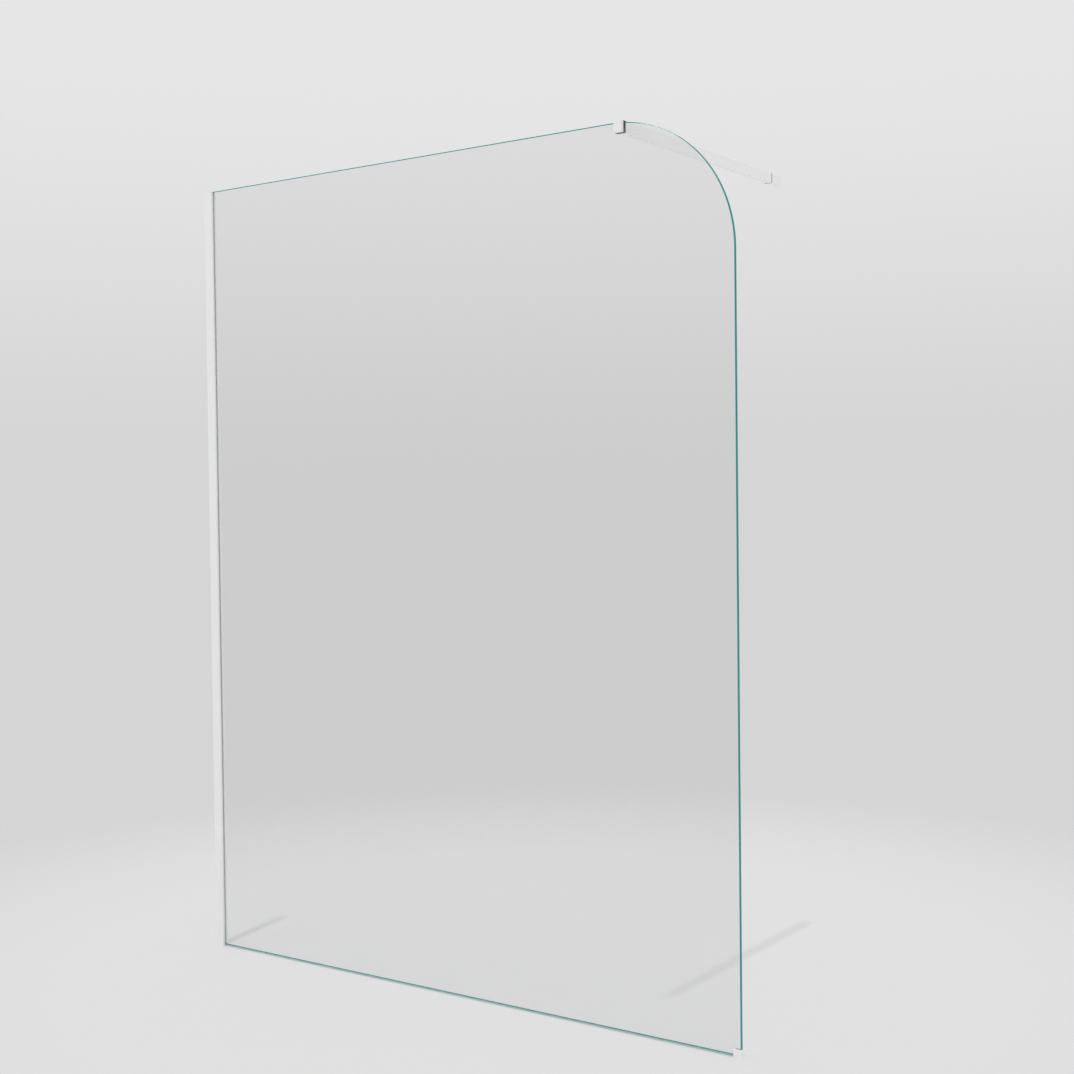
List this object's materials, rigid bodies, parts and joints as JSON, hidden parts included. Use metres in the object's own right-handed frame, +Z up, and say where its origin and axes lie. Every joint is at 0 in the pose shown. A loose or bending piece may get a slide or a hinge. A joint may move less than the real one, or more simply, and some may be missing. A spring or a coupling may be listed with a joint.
{
  "type": "walk-in shower screen",
  "caption": "Fixed clear glass shower screen with one large rounded top corner, held by a slim wall profile, a support bar to the back wall and a small floor shoe.",
  "frame": {"origin": "foot of the wall profile's back face, on the floor, in the middle of the glass's thickness", "axes": "+X along the screen away from its wall, +Y through the glass towards the back wall, +Z up"},
  "size_m": [1.571, 0.78, 2.007],
  "materials": {
    "white_coat": "satin",
    "white_plastic": "satin",
    "grey_seal": "matte",
    "dark_seal": "matte",
    "dark_plastic": "matte",
    "packer_plastic": "matte",
    "clear_glass": "polished",
    "screw_steel": "satin",
    "bare_aluminium": "satin"
  },
  "bodies": {
    "wall_channel": {"wall_profile": "white_coat", "profile_end_cap": "white_plastic", "front_glazing_gasket": "grey_seal", "rear_glazing_gasket": "grey_seal", "setting_block": "packer_plastic"},
    "glass": {"glass_panel": "clear_glass", "glass_clamp": "white_coat", "clamp_gasket": "dark_seal", "clamp_pressure_plate": "screw_steel", "clamp_screw": "screw_steel", "support_bar": "white_coat", "bar_front_set_screw": "screw_steel", "bar_collar": "dark_plastic", "bar_rear_set_screw": "screw_steel", "floor_shoe": "white_coat", "shoe_gasket": "grey_seal", "shoe_setting_pad": "packer_plastic"},
    "bar_bracket": {"wall_bracket": "white_coat", "wall_boss": "bare_aluminium", "bracket_set_screw": "screw_steel"}
  },
  "joints": [
    {"name": "glass_slide", "type": "slide", "parent": "wall_channel", "child": "glass", "axis": [1, 0, 0], "range_m": [-0.002, 0.008]},
    {"name": "bracket_slide", "type": "slide", "parent": "glass", "child": "bar_bracket", "axis": [0, 1, 0], "range_m": [0, 0.015]}
  ]
}
